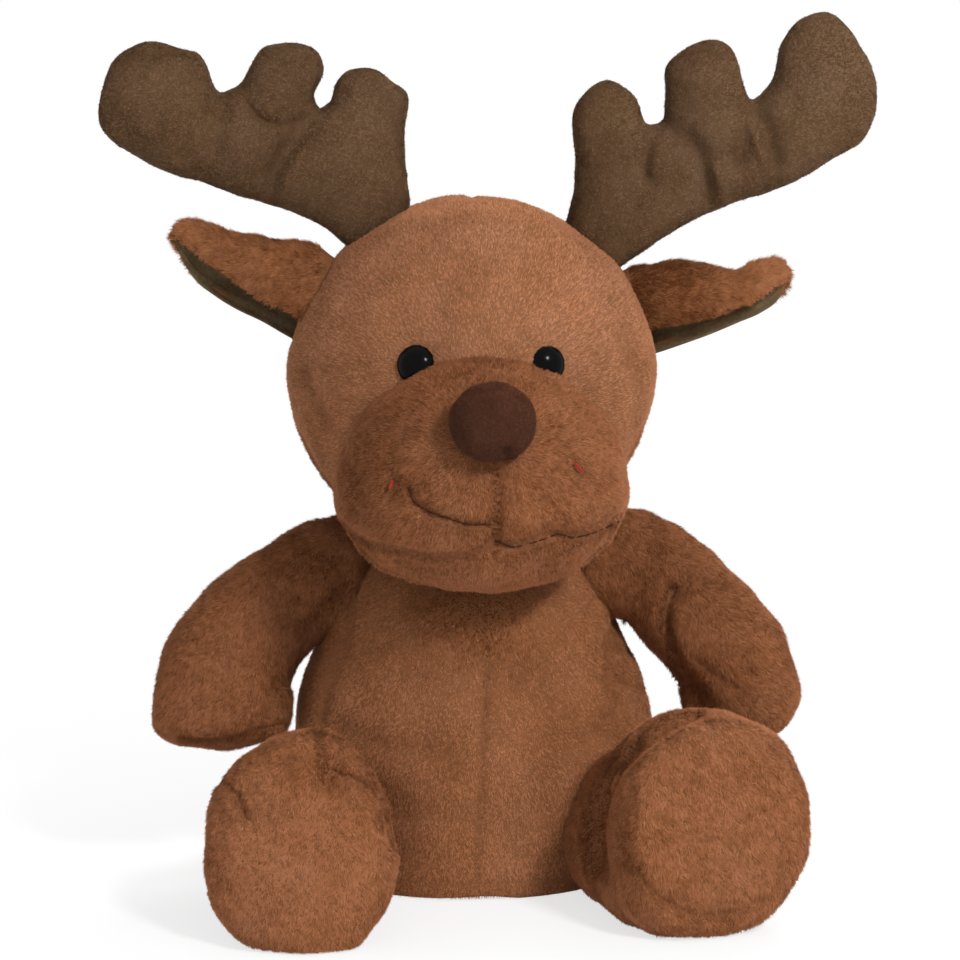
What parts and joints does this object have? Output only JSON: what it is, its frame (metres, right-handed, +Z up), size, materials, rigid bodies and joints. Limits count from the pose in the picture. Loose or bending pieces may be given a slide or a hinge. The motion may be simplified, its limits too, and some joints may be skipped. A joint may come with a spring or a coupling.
{
  "type": "plush deer",
  "caption": "Seated stuffed deer toy with a round head, wide muzzle, ball nose, branched antlers, folded ears, and arms and legs that turn at their sewn roots.",
  "frame": {"origin": "middle of the flat base panel of the body, on the surface that the toy sits on", "axes": "+Z up, the face looks along -Y, +X is on the right of someone who looks at the face"},
  "size_m": [0.2419, 0.1469, 0.2678],
  "materials": {
    "plush": "short-pile plush, mid brown",
    "muzzle": "short-pile plush, a darker brown",
    "antler": "short velour, grey-brown",
    "lining": "smooth brushed cloth, dark olive brown",
    "nose": "felted ball, dark chocolate brown",
    "filling": "polyester fibre filling, off-white",
    "beans": "cotton bag of plastic pellets",
    "eye": "polished black",
    "washer": "white nylon"
  },
  "bodies": {
    "torso": {"torso_front_left": "plush", "torso_front_right": "plush", "torso_back": "plush", "torso_base": "plush", "torso_filling": "filling", "seat_bean_bag": "beans"},
    "head": {"head_front": "plush", "head_back": "plush", "head_filling": "filling", "eye_left": "eye", "eye_washer_left": "washer", "eye_right": "eye", "eye_washer_right": "washer", "muzzle_left": "muzzle", "muzzle_right": "muzzle", "muzzle_chin": "muzzle", "muzzle_filling": "filling", "nose": "nose"},
    "ear_left": {"ear_left_outer": "plush", "ear_left_lining": "lining"},
    "ear_right": {"ear_right_outer": "plush", "ear_right_lining": "lining"},
    "antler_left": {"antler_left_front": "antler", "antler_left_back": "antler", "antler_left_filling": "filling"},
    "antler_right": {"antler_right_front": "antler", "antler_right_back": "antler", "antler_right_filling": "filling"},
    "arm_left": {"arm_left_skin": "plush", "arm_left_filling": "filling"},
    "arm_right": {"arm_right_skin": "plush", "arm_right_filling": "filling"},
    "leg_left": {"leg_left_skin": "plush", "leg_left_sole": "plush", "leg_left_filling": "filling"},
    "leg_right": {"leg_right_skin": "plush", "leg_right_sole": "plush", "leg_right_filling": "filling"}
  },
  "joints": [
    {"name": "neck_turn", "type": "hinge", "parent": "torso", "child": "head", "pos_m": [0, 0, 0.113], "axis": [0, 0, 1], "range_deg": [-22, 22], "stiffness_Nm_per_rad": 0.25},
    {"name": "ear_flap_left", "type": "hinge", "parent": "head", "child": "ear_left", "pos_m": [-0.05333, 0.005, 0.18127], "axis": [0.3584, 0, 0.9336], "range_deg": [-15, 18], "stiffness_Nm_per_rad": 0.012},
    {"name": "ear_flap_right", "type": "hinge", "parent": "head", "child": "ear_right", "pos_m": [0.05576, 0.005, 0.17565], "axis": [0.2079, 0, -0.9781], "range_deg": [-15, 18], "stiffness_Nm_per_rad": 0.012},
    {"name": "antler_bend_left", "type": "hinge", "parent": "head", "child": "antler_left", "pos_m": [-0.03188, 0.005, 0.20396], "axis": [0.8344, 0, 0.5512], "range_deg": [-12, 12], "stiffness_Nm_per_rad": 0.06},
    {"name": "antler_bend_right", "type": "hinge", "parent": "head", "child": "antler_right", "pos_m": [0.03763, 0.005, 0.19978], "axis": [0.7606, 0, -0.6492], "range_deg": [-12, 12], "stiffness_Nm_per_rad": 0.06},
    {"name": "shoulder_swing_left", "type": "hinge", "parent": "torso", "child": "arm_left", "pos_m": [-0.04036, 0, 0.09435], "axis": [-1, 0, 0], "range_deg": [-20, 40], "stiffness_Nm_per_rad": 0.03},
    {"name": "shoulder_swing_right", "type": "hinge", "parent": "torso", "child": "arm_right", "pos_m": [0.04036, 0, 0.09435], "axis": [-1, 0, 0], "range_deg": [-20, 40], "stiffness_Nm_per_rad": 0.03},
    {"name": "hip_lift_left", "type": "hinge", "parent": "torso", "child": "leg_left", "pos_m": [-0.03925, -0.04328, 0.027], "axis": [-0.9404, 0.3401, 0], "range_deg": [-5, 20], "stiffness_Nm_per_rad": 0.2},
    {"name": "hip_lift_right", "type": "hinge", "parent": "torso", "child": "leg_right", "pos_m": [0.03925, -0.04328, 0.027], "axis": [-0.8175, -0.576, 0], "range_deg": [-5, 20], "stiffness_Nm_per_rad": 0.2}
  ]
}
